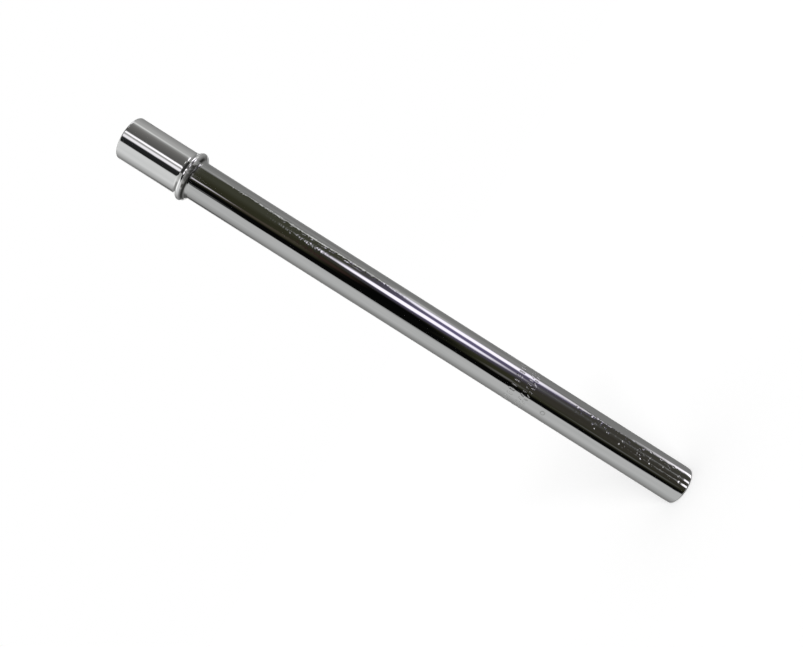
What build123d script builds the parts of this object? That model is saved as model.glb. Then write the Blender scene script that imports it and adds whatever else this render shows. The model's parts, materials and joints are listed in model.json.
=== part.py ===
"""Bicycle seatpost: one steel tube with an expanded head and an upset stop bead, open at both ends.

The post stands on its foot. The origin is at the centre of the foot, and +Z runs up the tube to the head.
"""

import os
from math import cos, radians, sin, tan

from build123d import *

# Driving dimensions, in millimetres and degrees
post_length = 355.6  # foot to the top of the head
shaft_diameter = 22.2  # slides in the seat tube
shaft_wall = 2.0
head_diameter = 25.4  # gripped by the saddle clamp
head_wall = 1.75  # thinner than the shaft's, because the head is expanded
crest_depth = 39.45  # top of the head down to the crest of the bead
bead_rise = 1.95  # crest of the bead above the head
crest_radius = 1.65
head_flank_slope = 42  # of the bead's flank to the tube's axis, head side
shaft_flank_slope = 52  # the same, shaft side
head_fillet = 3.0  # where the bead leaves the head
shaft_fillet = 0.8  # where the bead leaves the shaft
fold_radius = 0.4  # root of the groove that the bead leaves in the bore
bore_bend_radius = 2.0  # where the bore turns into that groove
end_round = 0.9  # outer edge of both cut ends
bore_edge_round = 0.4  # inner edge of both cut ends

# Radii and heights that follow from them
shaft_radius = shaft_diameter / 2
shaft_bore_radius = shaft_radius - shaft_wall
head_radius = head_diameter / 2
head_bore_radius = head_radius - head_wall
crest_height = post_length - crest_depth
crest_centre_radius = head_radius + bead_rise - crest_radius
head_slope = radians(head_flank_slope)
shaft_slope = radians(shaft_flank_slope)


def flank_foot(radius, depth, slope, side):
    """Point at a radius on a bead flank, at a depth under its outer surface; side is 1 for the head, -1 the shaft."""
    reach = crest_radius - depth - (radius - crest_centre_radius) * cos(slope)
    return (radius, crest_height + side * reach / sin(slope))


def flank_peak(head_depth, shaft_depth):
    """Point where the two flanks meet, each at its own depth under the outer surface."""
    spread = (crest_radius - head_depth) / sin(head_slope) + (crest_radius - shaft_depth) / sin(shaft_slope)
    radius = crest_centre_radius + spread / (1 / tan(head_slope) + 1 / tan(shaft_slope))
    return flank_foot(radius, head_depth, head_slope, 1)


# The wall in half section: each corner with the radius that it is rounded to
wall_corners = [
    # Outside, from the head down to the foot
    ((head_radius, post_length), end_round),
    (flank_foot(head_radius, 0, head_slope, 1), head_fillet),
    (flank_peak(0, 0), crest_radius),
    (flank_foot(shaft_radius, 0, shaft_slope, -1), shaft_fillet),
    ((shaft_radius, 0), end_round),
    # Inside, from the foot back up to the head
    ((shaft_bore_radius, 0), bore_edge_round),
    (flank_foot(shaft_bore_radius, shaft_wall, shaft_slope, -1), bore_bend_radius),
    (flank_peak(head_wall, shaft_wall), fold_radius),
    (flank_foot(head_bore_radius, head_wall, head_slope, 1), bore_bend_radius),
    ((head_bore_radius, post_length), bore_edge_round),
]
corner_points = [point for point, rounding in wall_corners]
corner_radii = [rounding for point, rounding in wall_corners]

with BuildPart() as seatpost:
    with BuildSketch(Plane.XZ) as wall_section:
        with BuildLine() as wall_outline:
            FilletPolyline(*corner_points, radius=corner_radii, close=True)
        make_face()
    revolve(axis=Axis.Z)
seatpost.part.label = "seatpost"

os.makedirs("parts", exist_ok=True)
export_step(seatpost.part, "parts/seatpost.step")
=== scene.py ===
import json
import math

import bpy
import numpy as np
from mathutils import Matrix, Vector


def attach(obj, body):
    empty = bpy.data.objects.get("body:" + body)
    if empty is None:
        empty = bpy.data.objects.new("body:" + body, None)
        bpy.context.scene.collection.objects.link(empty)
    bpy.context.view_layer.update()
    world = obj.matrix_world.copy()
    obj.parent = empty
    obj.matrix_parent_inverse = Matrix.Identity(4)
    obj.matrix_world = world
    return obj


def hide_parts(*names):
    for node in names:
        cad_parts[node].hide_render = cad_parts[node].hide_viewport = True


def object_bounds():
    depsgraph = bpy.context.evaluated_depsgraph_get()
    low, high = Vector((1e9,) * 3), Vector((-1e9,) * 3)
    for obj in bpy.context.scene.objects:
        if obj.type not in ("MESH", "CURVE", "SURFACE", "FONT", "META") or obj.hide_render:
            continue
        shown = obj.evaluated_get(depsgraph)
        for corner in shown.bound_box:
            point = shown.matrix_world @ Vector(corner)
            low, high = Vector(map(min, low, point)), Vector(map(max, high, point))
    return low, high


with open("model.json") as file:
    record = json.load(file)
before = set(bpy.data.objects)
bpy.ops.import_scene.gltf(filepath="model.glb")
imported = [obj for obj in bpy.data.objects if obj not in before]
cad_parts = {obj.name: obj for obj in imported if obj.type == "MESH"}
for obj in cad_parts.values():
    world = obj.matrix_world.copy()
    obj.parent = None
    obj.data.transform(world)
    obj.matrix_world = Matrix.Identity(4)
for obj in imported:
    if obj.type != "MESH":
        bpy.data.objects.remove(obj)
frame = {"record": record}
cad_low, cad_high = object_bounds()

MM = 0.001

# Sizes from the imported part
mount_dims = {mount["name"]: mount["dims"] for mount in frame["record"]["mounts"]}
post_length = cad_high.z
bead_radius = cad_high.x
head_radius = mount_dims["saddle_head"]["r_mm"] * MM
shaft_radius = mount_dims["seat_tube_shaft"]["r_mm"] * MM
head_bore_radius = mount_dims["head_bore"]["r_mm"] * MM
shaft_bore_radius = mount_dims["shaft_bore"]["r_mm"] * MM
head_wall = head_radius - head_bore_radius
shaft_wall = shaft_radius - shaft_bore_radius

# The bead and the cut ends, as in the part's source, but for a softer fillet at the shaft
crest_depth = 39.45 * MM
crest_height = post_length - crest_depth
crest_radius = 1.65 * MM
head_slope = math.radians(42)
shaft_slope = math.radians(52)
head_fillet = 3.0 * MM
shaft_fillet = 2.0 * MM
fold_radius = 0.4 * MM
bore_bend_radius = 2.0 * MM
end_round = 0.9 * MM
bore_edge_round = 0.4 * MM
crest_centre_radius = bead_radius - crest_radius
shade_height = 314.0 * MM  # of the dark line under the bead's crest

# The bead's shaft side is steeper around one azimuth, as forming leaves it
pull = 2.3 * MM  # of the flank's foot towards the crest
pull_azimuth = math.radians(6)
pull_width = math.radians(70)
pull_fade = 10 * MM  # down the shaft

# The foot is very slightly drawn in, as a cut tube is
draw_in = 0.22 * MM
draw_height = 5.0 * MM

# The stamped insertion mark, and the ring below it
dash_height = 108.6 * MM  # above the foot
dash_length = 3.6 * MM
dash_width = 1.05 * MM
dash_count = 25
dash_phase = math.radians(1)
dash_stagger = 0.25 * MM
dash_shuffle = 2.2  # radians from one dash's place in the stagger to the next
stroke_height = 100.6 * MM
stroke_length = 2.5 * MM
stroke_width = 0.8 * MM
stroke_count = 29
stroke_lean = math.radians(35)
stroke_lean_middle = 0.4  # share of the lean that every stroke has
stroke_lean_swing = 0.6  # share that comes and goes
stroke_shuffle = 2.4  # radians from one stroke's place in the swing to the next
stroke_row = 1.5 * MM  # half the distance between the two rows
ring_height = 87.5 * MM
ring_azimuth = math.radians(-36)
ring_radius = 1.2 * MM
ring_width = 0.55 * MM
stamp_depth = 0.06 * MM
stamp_rim = 0.24 * MM  # from a mark's edge to its flat bottom

# The mesh
turns = 240  # faces around the post
stamped_turns = 480  # and where it is stamped
stamped_step = 0.18 * MM
ring_reach = 1.7 * MM  # from the ring's centre to the end of its fine mesh
strokes_reach = 3.0 * MM
dashes_reach = 2.2 * MM
stamped_bands = [
    (ring_height - ring_reach, ring_height + ring_reach),
    (stroke_height - strokes_reach, dash_height + dashes_reach),
]
draw_step = 0.5 * MM
plain_step = 12 * MM
beside_bend = 0.25 * MM
shortest_run = 4 * beside_bend  # a shorter straight run gets no rings between its ends
height_tolerance = 1e-9
radius_tolerance = 1e-7

# The photograph's camera, in the part's frame
eye_distance = 445.8 * MM
eye_height = 184.15 * MM
eye_side = -6.3 * MM
eye_pitch = math.radians(-0.9)
eye_roll = math.radians(-57.67)
lens_mm = 36.56
sensor_mm = 36.0

# The studio, in metres
wall_distance = 0.6  # from the post to the walls
wall_face = 4  # degrees across one face of a wall, about
patch_points = 33  # along each side of a patch
ceiling_height = 1.439
ground_height = -0.6
lid_gap = 0.005  # between level cards that lie over each other
floor_half = 6.0
floor_lift = 0.3  # glow that brings the lit floor up to white
soft_light = 0.6  # of the world, where it only lights
key_energy = 1.2
key_angle = math.radians(20)
key_tilt = math.radians(40)
key_turn = math.radians(3)


def smooth(share):
    """A share from 0 to 1 with soft ends."""
    return share * share * (3 - 2 * share)


def add_object(name, data):
    """A new object in the scene."""
    obj = bpy.data.objects.new(name, data)
    bpy.context.scene.collection.objects.link(obj)
    return obj


# The post's mesh

def flank_foot(radius, depth, slope, side):
    """Point at a radius on a bead flank, at a depth under its face; side is 1 for the head, -1 the shaft."""
    reach = crest_radius - depth - (radius - crest_centre_radius) * math.cos(slope)
    return (radius, crest_height + side * reach / math.sin(slope))


def flank_peak(head_depth, shaft_depth):
    """Point where the two flanks meet, each at its own depth under the outer face."""
    spread = (crest_radius - head_depth) / math.sin(head_slope)
    spread += (crest_radius - shaft_depth) / math.sin(shaft_slope)
    radius = crest_centre_radius + spread / (1 / math.tan(head_slope) + 1 / math.tan(shaft_slope))
    return flank_foot(radius, head_depth, head_slope, 1)


def rounded_corner(before, corner, after, radius, faces):
    """Points along the arc that rounds a corner of the wall's section."""
    before, corner, after = Vector(before), Vector(corner), Vector(after)
    back, onward = (before - corner).normalized(), (after - corner).normalized()
    half_angle = back.angle(onward) / 2
    centre = corner + (back + onward).normalized() * radius / math.sin(half_angle)
    first = corner + back * radius / math.tan(half_angle) - centre
    last = corner + onward * radius / math.tan(half_angle) - centre
    sweep = first.angle(last)
    points = []
    for i in range(faces + 1):
        t = i / faces
        spoke = first * math.sin((1 - t) * sweep) + last * math.sin(t * sweep)
        points.append(centre + spoke / math.sin(sweep))
    return points


def spaced(start, end, step):
    """Evenly spaced values from start to end, no more than a step apart."""
    return list(np.linspace(start, end, math.ceil((end - start) / step) + 1))


def in_stamped_band(height):
    """Whether a ring of the outside at this height has the fine mesh of the stamped marks."""
    return any(low - height_tolerance <= height <= high + height_tolerance for low, high in stamped_bands)


def shaft_heights(low, high):
    """Heights of the rings on the shaft's outside: close at the foot and over the stamped bands."""
    heights = spaced(low, draw_height, draw_step)
    for band in stamped_bands:
        heights += spaced(heights[-1], band[0], plain_step)[1:]
        heights += spaced(*band, stamped_step)[1:]
    return heights + spaced(heights[-1], high - beside_bend, plain_step)[1:] + [high]


def on_shaft(point):
    """Whether a point of the section is on the shaft's outside."""
    return abs(point.x - shaft_radius) < radius_tolerance


def run_points(start, end):
    """Points along a straight run of the section, from just after its start to its end."""
    length = (end - start).length
    if length < shortest_run:
        return [end]
    if on_shaft(start) and on_shaft(end):
        return [Vector((shaft_radius, height)) for height in shaft_heights(start.y, end.y)[1:]]
    marks = spaced(beside_bend, length - beside_bend, plain_step) + [length]
    return [start.lerp(end, mark / length) for mark in marks]


def section_points():
    """The wall's half section as a closed loop, outside first, and which of its points are in the bore."""
    # Each corner with the radius that it is rounded to and the faces across the rounding
    corners = [
        ((shaft_radius, 0), end_round, 10),
        (flank_foot(shaft_radius, 0, shaft_slope, -1), shaft_fillet, 8),
        (flank_peak(0, 0), crest_radius, 18),
        (flank_foot(head_radius, 0, head_slope, 1), head_fillet, 12),
        ((head_radius, post_length), end_round, 10),
        ((head_bore_radius, post_length), bore_edge_round, 6),
        (flank_foot(head_bore_radius, head_wall, head_slope, 1), bore_bend_radius, 8),
        (flank_peak(head_wall, shaft_wall), fold_radius, 6),
        (flank_foot(shaft_bore_radius, shaft_wall, shaft_slope, -1), bore_bend_radius, 8),
        ((shaft_bore_radius, 0), bore_edge_round, 6),
    ]
    # The numbers of the corners that are in the bore, and of those with a run of the bore after them
    bore_corners = (6, 7, 8)
    bore_runs = (5, 6, 7, 8)
    arcs = []
    for i, (corner, radius, faces) in enumerate(corners):
        before = corners[i - 1][0]
        after = corners[(i + 1) % len(corners)][0]
        arcs.append(rounded_corner(before, corner, after, radius, faces))
    points, in_bore = [], []
    for i, arc in enumerate(arcs):
        run = run_points(arc[-1], arcs[(i + 1) % len(arcs)][0])[:-1]
        points += arc + run
        in_bore += [i in bore_corners] * len(arc) + [i in bore_runs] * len(run)
    return points, in_bore


def groove(distance, width):
    """Share of a groove's full depth, at a distance from its middle; its edges are soft."""
    return smooth(np.clip((width / 2 - distance) / stamp_rim, 0, 1))


def stroke(across, along, length, width):
    """Share of the full depth of one straight stroke with round ends."""
    past_end = np.maximum(np.abs(along) - (length - width) / 2, 0)
    return groove(np.hypot(across, past_end), width)


def nearest_mark(azimuth, count, phase):
    """Distance around the shaft from the nearest of a ring of evenly spaced marks, and the mark's number."""
    pitch = math.tau / count
    turn = (azimuth + phase) / pitch
    return (turn % 1 - 0.5) * pitch * shaft_radius, np.floor(turn) % count


def stamped_share(azimuth, height):
    """How deep the stamped marks are, from 0 to 1, at points of the shaft's outside."""
    x, number = nearest_mark(azimuth, dash_count, dash_phase)
    stagger = dash_stagger * np.sin(dash_shuffle * number)
    share = stroke(x, height - dash_height - stagger, dash_length, dash_width)
    for row in (1, -1):
        x, number = nearest_mark(azimuth, stroke_count, row * math.tau / stroke_count / 4)
        y = height - stroke_height - row * stroke_row
        swing = np.sin(stroke_shuffle * number + row)
        lean = stroke_lean * (stroke_lean_middle + stroke_lean_swing * swing)
        across = x * np.cos(lean) - y * np.sin(lean)
        along = x * np.sin(lean) + y * np.cos(lean)
        share = np.maximum(share, stroke(across, along, stroke_length, stroke_width))
    from_centre = np.hypot((azimuth - ring_azimuth) * shaft_radius, height - ring_height)
    return np.maximum(share, groove(np.abs(from_centre - ring_radius), ring_width))


def pulled(azimuth, height):
    """How far points of the outside at a height are pushed up, where the bead's shaft side is steeper."""
    corner_height = flank_foot(shaft_radius, 0, shaft_slope, -1)[1]
    flank_end = corner_height - shaft_fillet * math.tan(shaft_slope / 2)
    if height > flank_end:
        share = max(0, (crest_height - height) / (crest_height - flank_end))
    else:
        share = max(0, 1 - (flank_end - height) / pull_fade)
    away = np.abs((azimuth - pull_azimuth + math.pi) % math.tau - math.pi)
    return pull * share * np.cos(np.clip(away / pull_width, 0, 1) * math.pi / 2) ** 2


def ring_of_points(radius, height):
    """One ring of the mesh, and how deep it is stamped; azimuth 0 is at -Y and grows towards +X."""
    outside = radius > shaft_bore_radius + shaft_wall / 2
    stamped = outside and in_stamped_band(height)
    count = stamped_turns if stamped else turns
    azimuth = np.arange(count) * math.tau / count
    around = np.full(count, radius)
    heights = np.full(count, height)
    share = np.zeros(count)
    if stamped:
        signed = (azimuth + math.pi) % math.tau - math.pi
        share = stamped_share(signed, heights)
        around -= stamp_depth * share
    if outside and height < draw_height:
        around -= draw_in * (1 - height / draw_height) ** 2
    if outside:
        heights += pulled(azimuth, height)
    points = np.stack([around * np.sin(azimuth), -around * np.cos(azimuth), heights], axis=1)
    return points, share


def band_faces(first, first_count, second, second_count):
    """Faces between two rings, where one ring may have a whole multiple of the other's points."""
    faces = []
    count = min(first_count, second_count)
    for i in range(count):
        edges = []
        for start, total in ((first, first_count), (second, second_count)):
            share = total // count
            edges.append([start + (i * share + k) % total for k in range(share + 1)])
        faces.append(edges[0] + edges[1][::-1])
    return faces


def post_mesh():
    """The whole post as one closed mesh, with the marks pressed into the shaft."""
    section, in_bore = section_points()
    made_rings = [ring_of_points(point.x, point.y) for point in section]
    rings = [points for points, share in made_rings]
    shares = np.concatenate([share for points, share in made_rings])
    starts = np.cumsum([0] + [len(ring) for ring in rings])
    faces, finishes = [], []
    for i, ring in enumerate(rings):
        after = (i + 1) % len(rings)
        made = band_faces(int(starts[i]), len(ring), int(starts[after]), len(rings[after]))
        faces += made
        finishes += [int(in_bore[i] and in_bore[after])] * len(made)
    mesh = bpy.data.meshes.new("seatpost_finish")
    mesh.from_pydata(np.concatenate(rings).tolist(), [], faces)
    mesh.polygons.foreach_set("use_smooth", [True] * len(faces))
    mesh.polygons.foreach_set("material_index", finishes)
    stamped = mesh.attributes.new("stamped", "FLOAT", "POINT")
    stamped.data.foreach_set("value", shares.astype(np.float32))
    mesh.update()
    return mesh


# Materials

def new_material(name):
    """A material with no nodes yet, and its node tree."""
    material = bpy.data.materials.new(name)
    material.use_nodes = True
    material.node_tree.nodes.clear()
    return material, material.node_tree


def node(tree, kind, inputs=None, **settings):
    """A new node; inputs are values to set or sockets to link, by the input's name or number."""
    made = tree.nodes.new(kind)
    for key, value in settings.items():
        setattr(made, key, value)
    for key, value in (inputs or {}).items():
        if isinstance(value, bpy.types.NodeSocket):
            tree.links.new(value, made.inputs[key])
        else:
            made.inputs[key].default_value = value
    return made


def math_node(tree, operation, first, *others):
    """The values taken together by a math operation, one after the other."""
    result = first
    for other in others:
        result = node(tree, "ShaderNodeMath", {0: result, 1: other}, operation=operation).outputs[0]
    return result


def product(tree, *values):
    return math_node(tree, "MULTIPLY", *values)


def largest(tree, *values):
    return math_node(tree, "MAXIMUM", *values)


def ease(tree, value, start, end, low=0.0, high=1.0):
    """A smooth change from low to high as the value goes from start to end."""
    inputs = {"Value": value, "From Min": start, "From Max": end, "To Min": low, "To Max": high}
    return node(tree, "ShaderNodeMapRange", inputs, interpolation_type="SMOOTHSTEP").outputs["Result"]


def between(tree, value, rise, fall):
    """1 between a smooth rise and a smooth fall, each with a start and an end in millimetres, and else 0."""
    risen = ease(tree, value, rise[0] * MM, rise[1] * MM)
    return product(tree, risen, ease(tree, value, fall[1] * MM, fall[0] * MM))


def noise(tree, place, scale, detail=2.0):
    """Soft noise around a half, with a scale in waves per metre."""
    inputs = {"Vector": place, "Scale": scale, "Detail": detail}
    return node(tree, "ShaderNodeTexNoise", inputs).outputs["Fac"]


def voronoi(tree, place, scale, randomness):
    """Distance from the middle of the nearest cell, and that cell's own colour."""
    inputs = {"Vector": place, "Scale": scale, "Randomness": randomness}
    made = node(tree, "ShaderNodeTexVoronoi", inputs)
    return made.outputs["Distance"], made.outputs["Color"]


def mixed(tree, share, first, second):
    """The first colour, and by the share the second."""
    inputs = {"Factor": share, 6: first, 7: second}
    return node(tree, "ShaderNodeMix", inputs, data_type="RGBA").outputs[2]


def ramp(tree, value, low, high):
    """A colour that follows the value; low and high are each a place on its scale and the colour there."""
    made = node(tree, "ShaderNodeValToRGB", {"Fac": value})
    for element, (position, colour) in zip(made.color_ramp.elements, (low, high)):
        element.color = colour
        element.position = position
    return made.outputs["Color"]


def stretched(tree, place, scale):
    """Places scaled along each axis, for marks that run along the post."""
    return node(tree, "ShaderNodeVectorMath", {0: place, 1: scale}, operation="MULTIPLY").outputs["Vector"]


def metal_surface(tree, colour, roughness, height):
    """The surface of a metal, with its unevenness in millimetres of height."""
    bump = node(tree, "ShaderNodeBump", {"Strength": 1.0, "Distance": MM, "Height": height})
    metal = node(tree, "ShaderNodeBsdfPrincipled", {
        "Base Color": colour,
        "Metallic": 1.0,
        "Roughness": roughness,
        "Normal": bump.outputs["Normal"],
    })
    node(tree, "ShaderNodeOutputMaterial", {"Surface": metal.outputs["BSDF"]})


def chrome_material():
    """Bright chrome plate with a light handling haze and polishing streaks along the post.

    It is rippled below the bead, dented near the foot, and peeled and pitted on one side. The stamped marks
    are paler with painted shade at their rims, the bead's crest has a painted highlight, and there is painted
    shade under it.
    """
    material, tree = new_material("chrome_plate")
    place = node(tree, "ShaderNodeTexCoord").outputs["Object"]
    axes = node(tree, "ShaderNodeSeparateXYZ", {"Vector": place}).outputs
    facing = ease(tree, axes["Y"], -7.2 * MM, -8.6 * MM)

    # Where the plate is rippled and dented: below the bead and near the foot, on one part of the front
    sector = product(tree, facing, between(tree, axes["X"], (-1.0, 2.0), (6.4, 7.6)))
    below_bead = product(tree, between(tree, axes["Z"], (226, 240), (256, 272)), sector)
    near_foot = product(tree, between(tree, axes["Z"], (3, 9), (60, 84)), sector)

    # Where it is peeled and pitted: beside that, most on the upper shaft
    upper = between(tree, axes["Z"], (165, 215), (280, 305))
    lower = product(tree, between(tree, axes["Z"], (30, 45), (52, 74)), 0.6)
    side = ease(tree, axes["X"], 4.8 * MM, 7.2 * MM)
    rough_side = product(tree, side, largest(tree, upper, lower), facing)

    # Painted shade under the bead's crest: a line, thinner on one side, and two painted dark parts of the
    # flank
    above_shade = math_node(tree, "SUBTRACT", axes["Z"], shade_height)
    line = between(tree, above_shade, (-0.9, -0.1), (0.2, 0.9))
    shade_thinned = ease(tree, between(tree, axes["X"], (0.5, 2.5), (8.5, 9.5)), 0.0, 1.0, 1.0, 0.25)
    thin_end = ease(tree, axes["X"], 11.0 * MM, 12.6 * MM, 1.0, 0.45)
    left = ease(tree, axes["X"], -8.6 * MM, -10.4 * MM, 0.0, 0.8)
    left_flank = between(tree, above_shade, (-2.8, -2.2), (-1.2, -0.3))
    front = product(tree, between(tree, axes["X"], (-4.8, -3.2), (4.5, 6.0)), facing, 0.7)
    front_flank = between(tree, above_shade, (-1.4, -0.7), (1.0, 1.8))
    painted_fold_shade = largest(
        tree,
        product(tree, line, shade_thinned, thin_end),
        product(tree, left, left_flank),
        product(tree, front, front_flank),
    )
    # Painted highlight: a paler base colour on the bead's crest
    crest = between(tree, above_shade, (0.8, 1.3), (2.6, 3.4))

    # The unevenness, in millimetres of height
    wave_height = 0.05
    ripple_height = 0.18
    dent_height = -0.1
    peel_height = 0.4
    polish_height = 0.0012
    pit_height = -0.07
    wave = product(tree, noise(tree, stretched(tree, place, (1, 1, 0.4)), 110.0), wave_height)
    rippled = largest(tree, below_bead, product(tree, near_foot, 0.4))
    ripple = product(tree, noise(tree, place, 430.0, 1.0), product(tree, rippled, ripple_height))
    dent_distance, dent_colour = voronoi(tree, place, 390.0, 0.9)
    dented = product(tree, near_foot, ease(tree, dent_colour, 0.1, 0.2))
    dent = product(tree, ease(tree, dent_distance, 0.42, 0.0), dented, dent_height)
    dent_floor = product(tree, ease(tree, dent_distance, 0.4, 0.2), dented)
    peeled = ease(tree, rough_side, 0.0, 1.0, 0.001, peel_height)
    peel = product(tree, noise(tree, stretched(tree, place, (1, 1, 0.9)), 310.0), peeled)
    polish = product(tree, noise(tree, stretched(tree, place, (1, 1, 0.02)), 2600.0), polish_height)
    pit_distance, _ = voronoi(tree, place, 520.0, 1.0)
    pit_size = ease(tree, rough_side, 0.0, 1.0, 0.001, 0.2)
    pitted = ease(tree, math_node(tree, "DIVIDE", pit_distance, pit_size), 1.0, 0.0)
    pit = product(tree, pitted, pit_height)
    height = math_node(tree, "ADD", wave, ripple, dent, peel, polish, pit)

    # The haze, and the marks that are duller than it
    stamped = node(tree, "ShaderNodeAttribute", attribute_name="stamped").outputs["Fac"]
    roughness = ease(tree, noise(tree, place, 34.0, 3.0), 0.45, 0.75, 0.045, 0.09)
    for mark, dullness in ((pitted, 0.22), (stamped, 0.55), (painted_fold_shade, 0.25), (dent_floor, 0.2)):
        roughness = largest(tree, roughness, product(tree, mark, dullness))

    # The streaked colour, the paler stamps, and the painted shade and highlight over it
    streaks = noise(tree, stretched(tree, place, (1, 1, 0.05)), 420.0, 3.0)
    plate = ramp(tree, streaks, (0.3, (0.585, 0.59, 0.58, 1)), (0.6, (0.64, 0.64, 0.63, 1)))
    # Painted shade darkens the sloped rims of the stamped marks
    painted_stamp_rim_shade = product(tree, stamped, math_node(tree, "SUBTRACT", 1.0, stamped), 3.0)
    colour = mixed(tree, stamped, plate, (0.85, 0.85, 0.83, 1))
    for mark, mark_colour in (
        (painted_stamp_rim_shade, (0.2, 0.2, 0.19, 1)),
        (crest, (0.9, 0.9, 0.89, 1)),
        (painted_fold_shade, (0.07, 0.07, 0.065, 1)),
    ):
        colour = mixed(tree, mark, colour, mark_colour)
    metal_surface(tree, colour, roughness, height)
    return material


def bore_material():
    """Bare drawn steel inside the tube: dull, with draw lines along it and a brown bloom."""
    material, tree = new_material("drawn_steel_bore")
    place = node(tree, "ShaderNodeTexCoord").outputs["Object"]
    line_height = 0.02  # millimetres
    lines = product(tree, noise(tree, stretched(tree, place, (1, 1, 0.03)), 900.0, 3.0), line_height)
    bloom = noise(tree, place, 120.0, 4.0)
    colour = ramp(tree, bloom, (0.35, (0.2, 0.17, 0.14, 1)), (0.6, (0.36, 0.34, 0.32, 1)))
    metal_surface(tree, colour, ease(tree, bloom, 0.35, 0.65, 0.6, 0.4), lines)
    return material


# The stage

def card_material():
    """Glow and cover that each card holds in its corners."""
    material, tree = new_material("studio_card")
    held = node(tree, "ShaderNodeVertexColor", layer_name="glow").outputs
    glow = node(tree, "ShaderNodeEmission", {"Color": held["Color"], "Strength": 1.0})
    clear = node(tree, "ShaderNodeBsdfTransparent")
    inputs = {0: held["Alpha"], 1: clear.outputs[0], 2: glow.outputs[0]}
    cover = node(tree, "ShaderNodeMixShader", inputs)
    node(tree, "ShaderNodeOutputMaterial", {"Surface": cover.outputs[0]})
    material.cycles.emission_sampling = "NONE"
    return material


card_finish = card_material()


def stage_place(azimuth, slope, distance):
    """Where a line of sight that the post reflects to an azimuth and slope meets a card at a distance.

    The azimuth is in degrees from the camera's side towards +X, and the slope is the rise over the run.
    """
    a = math.radians(azimuth)
    return (distance * math.sin(a), -distance * math.cos(a), eye_height + slope * (eye_distance + distance))


def card(name, points, colours, columns):
    """A card of the studio from rows of points, which only mirror reflections see."""
    faces = []
    for first in range(len(points) - columns - 1):
        if first % columns != columns - 1:
            faces.append((first, first + 1, first + columns + 1, first + columns))
    mesh = bpy.data.meshes.new(name)
    mesh.from_pydata(points, [], faces)
    layer = mesh.color_attributes.new("glow", "FLOAT_COLOR", "POINT")
    layer.data.foreach_set("color", np.array(colours, dtype=np.float32).ravel())
    mesh.materials.append(card_finish)
    obj = add_object(name, mesh)
    obj.visible_camera = False
    obj.visible_diffuse = False
    obj.visible_transmission = False
    obj.visible_volume_scatter = False
    obj.visible_shadow = False


def wall(name, slopes, bands):
    """A curved upright card between two slopes; bands are the azimuths and the glows across it."""
    columns = []
    for (start, glow), (end, next_glow) in zip(bands, bands[1:]):
        steps = max(2, round(abs(end - start) / wall_face))
        for share in np.linspace(0, 1, steps, endpoint=False):
            blend = Vector(glow).lerp(Vector(next_glow), share)
            columns.append((start + (end - start) * share, (*blend, 1)))
    columns.append((bands[-1][0], (*bands[-1][1], 1)))
    points, colours = [], []
    for slope in slopes:
        points += [stage_place(azimuth, slope, wall_distance) for azimuth, glow in columns]
        colours += [glow for azimuth, glow in columns]
    card(name, points, colours, len(columns))


def patch(name, azimuth, slope, glow, softness, step, cover=1.0, oval=True):
    """A soft lamp or shade, a step in front of the walls.

    Azimuth and slope are each a middle and a half width. A patch that is not oval is soft at its sides only.
    """
    marks = [2 * i / (patch_points - 1) - 1 for i in range(patch_points)]
    distance = wall_distance - step
    points, colours = [], []
    for v in marks:
        for u in marks:
            points.append(stage_place(azimuth[0] + azimuth[1] * u, slope[0] + slope[1] * v, distance))
            edge = math.hypot(u, v) if oval else abs(u)
            rise = min(1.0, max(0.0, (1 - edge) / softness))
            colours.append((*glow, cover * smooth(rise)))
    card(name, points, colours, patch_points)


def lid(name, middle, half, height, glow, right_glow=None):
    """A level card that closes the walls above or below; its glow may change towards the right."""
    corners = [(-1, -1), (1, -1), (-1, 1), (1, 1)]
    points = [(middle[0] + half[0] * x, middle[1] + half[1] * y, height) for x, y in corners]
    colours = [(*(right_glow if right_glow and x > 0 else glow), 1) for x, y in corners]
    card(name, points, colours, 2)


def grey(level, warmth=0.0):
    """A grey of a level, a little redder or, below 0, bluer."""
    return (level * (1 + warmth), level, level * (1 - warmth))


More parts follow.
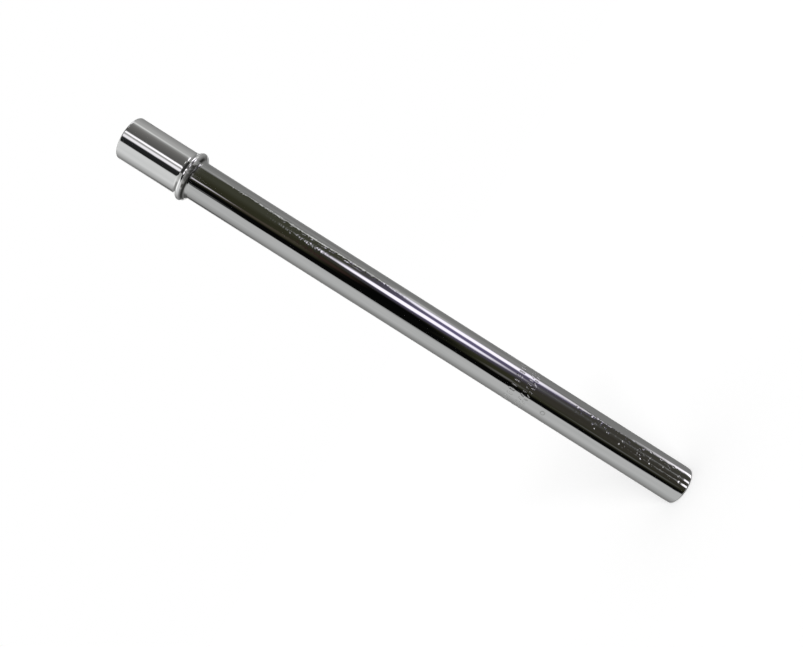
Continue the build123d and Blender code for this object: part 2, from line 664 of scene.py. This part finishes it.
def studio_cards():
    """Everything that the chrome reflects."""
    low, foot, split, top = -0.75, -0.17, 0.29, 1.2  # slopes where the walls change
    black = grey(0.003)
    olive = (0.037, 0.037, 0.021)
    brown = (0.05, 0.046, 0.037)
    pale_olive = (0.064, 0.066, 0.046)
    drab = (0.068, 0.065, 0.056)
    lavender = (0.24, 0.2, 0.42)
    white = (2.6, 2.5, 2.7)
    violet_white = (1.6, 1.53, 1.76)
    light = grey(0.655, -0.01)
    bright = grey(0.935, -0.01)

    # The walls all around, from the back by the left, the front and the right
    back_left = [(-180, black), (-173, black), (-171, grey(1.3)), (-162, grey(1.3)), (-160, grey(0.24))]
    back_right = [(158, grey(0.24)), (160, grey(0.8)), (166, grey(0.8)), (168, black), (180, black)]
    wall("walls_foot", (low, foot), [
        *back_left, (-131, grey(0.31)), (-88, light), (-42.2, light), (-38.7, black),
        (-24, black), (-15, olive), (4, brown), (25, brown), (36, drab), (60, drab),
        (70, pale_olive), (78, grey(0.11)), (88, grey(0.22)), (95, grey(0.3)), (131, grey(0.27)), *back_right,
    ])
    wall("walls", (foot, split), [
        *back_left, (-131, grey(0.31)), (-88, light), (-44, light), (-41, black),
        (-19, black), (-10, olive), (20, olive), (45, pale_olive), (73, pale_olive), (77, grey(0.19)),
        (81, grey(0.31)), (101, grey(0.33)), (124, grey(0.265)), (143, grey(0.3)), *back_right,
    ])
    wall("walls_high", (split, top), [
        *back_left, (-133, grey(0.38)), (-88, bright), (-40, bright), (-36, grey(0.018)),
        (-14, grey(0.028, -0.06)), (-9, grey(0.3)), (5, grey(0.5)), (19, grey(0.3)), (23, grey(0.13, 0.02)),
        (50, grey(0.19, 0.02)), (63, grey(0.25, 0.02)), (70, grey(0.38)), (77, grey(0.64)), (83, grey(0.7)),
        (90, grey(0.6)), (104, grey(0.53)), (131, grey(0.42)), *back_right,
    ])

    # Level cards above and below
    over_ground = [ground_height + lid_gap * i for i in range(4)]
    lid("ceiling", (0, 0), (wall_distance, wall_distance), ceiling_height, grey(0.05))
    lid("ceiling_left", (-0.36, 0), (0.24, wall_distance), ceiling_height - lid_gap, grey(0.9), grey(0.5))
    lid("ground", (0, 0), (wall_distance, wall_distance), over_ground[0], grey(0.1, 0.05))
    lid("ground_front", (0, -0.38), (wall_distance, 0.22), over_ground[1], grey(0.6), grey(0.3))
    lid("ground_back", (0, 0.44), (wall_distance, 0.16), over_ground[1], grey(0.6), grey(0.3))
    lid("ground_left", (-0.37, 0), (0.23, 0.23), over_ground[2], grey(0.85), grey(0.2))
    lid("ground_lamp_near", (0.28, 0.02), (0.05, 0.05), over_ground[3], grey(0.6))
    lid("ground_lamp_far", (0.48, 0.16), (0.05, 0.05), over_ground[3], grey(0.6))

    # Lamps, the tinted glow around them, and the shade of the camera
    patch("camera_shade", (-4, 26), (0.01, 0.14), black, 0.55, 0.01)
    patch("lamp_glow", (51, 44), (-0.085, 0.18), lavender, 1.0, 0.02, 0.65)
    patch("lamp_glow_end", (65, 9), (-0.2, 0.12), lavender, 1.0, 0.025, 0.5)
    patch("side_glow", (86.5, 14), (0.09, 0.25), grey(0.95), 1.0, 0.03)
    patch("lamp_fringe", (23, 14), (-0.02, 0.16), lavender, 1.0, 0.03, 0.25)
    patch("lamp_low", (36.2, 12), (-0.016, 0.156), violet_white, 0.5, 0.04)
    patch("lamp_low_head", (44, 9), (0.065, 0.05), (0.36, 0.34, 0.4), 1.0, 0.038)
    patch("lamp_low_end", (39.5, 9), (0.125, 0.08), grey(0.27), 1.0, 0.035)
    patch("lamp_low_tail", (39.5, 7.5), (-0.138, 0.07), (0.77, 0.73, 0.84), 1.0, 0.038)
    patch("lamp_side", (71.8, 13.5), (-0.103, 0.165), violet_white, 0.6, 0.04)
    patch("lamp_side_end", (78.5, 9.5), (-0.22, 0.115), (1.1, 1.05, 1.15), 0.8, 0.035)
    patch("lamp_foot", (89, 12), (-0.55, 0.25), white, 0.7, 0.04)
    patch("line_low", (-9, 8), (-0.155, 0.05), grey(0.16, 0.03), 1.0, 0.04)
    patch("line_foot", (-11.5, 5), (-0.33, 0.15), grey(0.12, 0.02), 0.8, 0.04)
    patch("line_middle", (41, 9), (-0.22, 0.09), grey(0.12), 1.0, 0.035)
    patch("light_foot", (-40.5, 7), (-0.5, 0.2), light, 0.4, 0.02)
    patch("back_shade", (-140, 14), (0.27, 0.12), grey(0.1), 0.9, 0.02)
    patch("brown_glow", (3, 14), (0.1, 0.07), (0.05, 0.03, 0.025), 1.0, 0.022)
    patch("edge_shade", (-46, 5), (-0.01, 0.17), black, 1.0, 0.03, 0.3)
    patch("edge_light", (-37.5, 4), (0.27, 0.06), light, 1.0, 0.03, 0.22)
    patch("lamp_high_side", (-80, 45), (0.64, 0.22), grey(1.15), 0.7, 0.03)
    for name, azimuth, start, level in (("first", 43.5, -0.26, 0.25), ("second", 14, -0.31, 0.35)):
        patch(f"fan_{name}", (azimuth, 6.5), (-0.595, 0.165), (1.8, 1.75, 1.85), 0.5, 0.04, oval=False)
        patch(f"fan_{name}_end", (azimuth, 6), (start - 0.12, 0.12), grey(level), 1.0, 0.03)
    patch("line_high", (80, 7), (0.4, 0.13), grey(1.05), 0.8, 0.03)
    patch("lamp_high_right", (14, 5.6), (0.65, 0.35), (1.7, 1.66, 1.74), 0.5, 0.04, oval=False)
    patch("lamp_high_left", (-4.2, 8.3), (0.65, 0.35), (1.3, 1.27, 1.34), 0.6, 0.04, oval=False)
    patch("lamp_neck", (-4.2, 5), (0.297, 0.09), (1.0, 0.95, 1.05), 0.9, 0.03)
    patch("line_neck", (-6, 8), (0.21, 0.13), (0.09, 0.075, 0.058), 0.9, 0.025)
    patch("spot_high", (47, 11), (0.53, 0.11), grey(1.6), 0.6, 0.04)
    patch("spot_side", (86, 19), (0.69, 0.25), white, 0.6, 0.04)


def any_ray(tree):
    """1 where the camera, a mirror or glass looks, and 0 where light only falls."""
    path = node(tree, "ShaderNodeLightPath").outputs
    return largest(tree, path["Is Camera Ray"], path["Is Glossy Ray"], path["Is Transmission Ray"])


def world_light():
    """White where it is looked at, and an even soft light on everything else."""
    world = bpy.data.worlds.new("studio")
    bpy.context.scene.world = world
    world.use_nodes = True
    tree = world.node_tree
    tree.nodes.clear()
    soft = node(tree, "ShaderNodeBackground", {"Color": (1, 1, 1, 1), "Strength": soft_light})
    white = node(tree, "ShaderNodeBackground", {"Color": (1, 1, 1, 1), "Strength": 1.0})
    either = node(tree, "ShaderNodeMixShader", {0: any_ray(tree), 1: soft.outputs[0], 2: white.outputs[0]})
    node(tree, "ShaderNodeOutputWorld", {"Surface": either.outputs[0]})


def floor_material():
    """Pale matt floor that looks white where nothing shades it."""
    material, tree = new_material("pale_floor")
    matt = node(tree, "ShaderNodeBsdfDiffuse", {"Color": (0.8, 0.8, 0.8, 1)})
    strength = product(tree, any_ray(tree), floor_lift)
    lift = node(tree, "ShaderNodeEmission", {"Color": (1, 1, 1, 1), "Strength": strength})
    both = node(tree, "ShaderNodeAddShader", {0: matt.outputs[0], 1: lift.outputs[0]})
    node(tree, "ShaderNodeOutputMaterial", {"Surface": both.outputs[0]})
    return material


def floor():
    """The plain floor that the post stands on."""
    corners = [(-1, -1), (1, -1), (1, 1), (-1, 1)]
    mesh = bpy.data.meshes.new("floor")
    mesh.from_pydata([(floor_half * x, floor_half * y, 0) for x, y in corners], [], [(0, 1, 2, 3)])
    mesh.materials.append(floor_material())
    obj = add_object("floor", mesh)
    obj.visible_glossy = False


def key_light():
    """One broad lamp from above the camera, for the soft shadow on the floor."""
    lamp = bpy.data.lights.new("key", "SUN")
    lamp.energy = key_energy
    lamp.angle = key_angle
    obj = add_object("key", lamp)
    obj.rotation_euler = (key_tilt, 0, key_turn)
    obj.visible_glossy = False


def camera():
    """The photograph's camera, rolled so that the standing post slants across the picture."""
    data = bpy.data.cameras.new("camera")
    data.lens = lens_mm
    data.sensor_width = sensor_mm
    obj = add_object("camera", data)
    level = Matrix.Rotation(math.radians(90) + eye_pitch, 4, "X")
    roll = Matrix.Rotation(eye_roll, 4, "Z")
    obj.matrix_world = Matrix.Translation((eye_side, -eye_distance, eye_height)) @ level @ roll
    bpy.context.scene.camera = obj


mesh = post_mesh()
mesh.materials.append(chrome_material())
mesh.materials.append(bore_material())
post = add_object("seatpost_finish", mesh)
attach(post, "root")
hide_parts("seatpost")

studio_cards()
world_light()
floor()
key_light()
camera()
bpy.context.scene.view_settings.view_transform = "Standard"
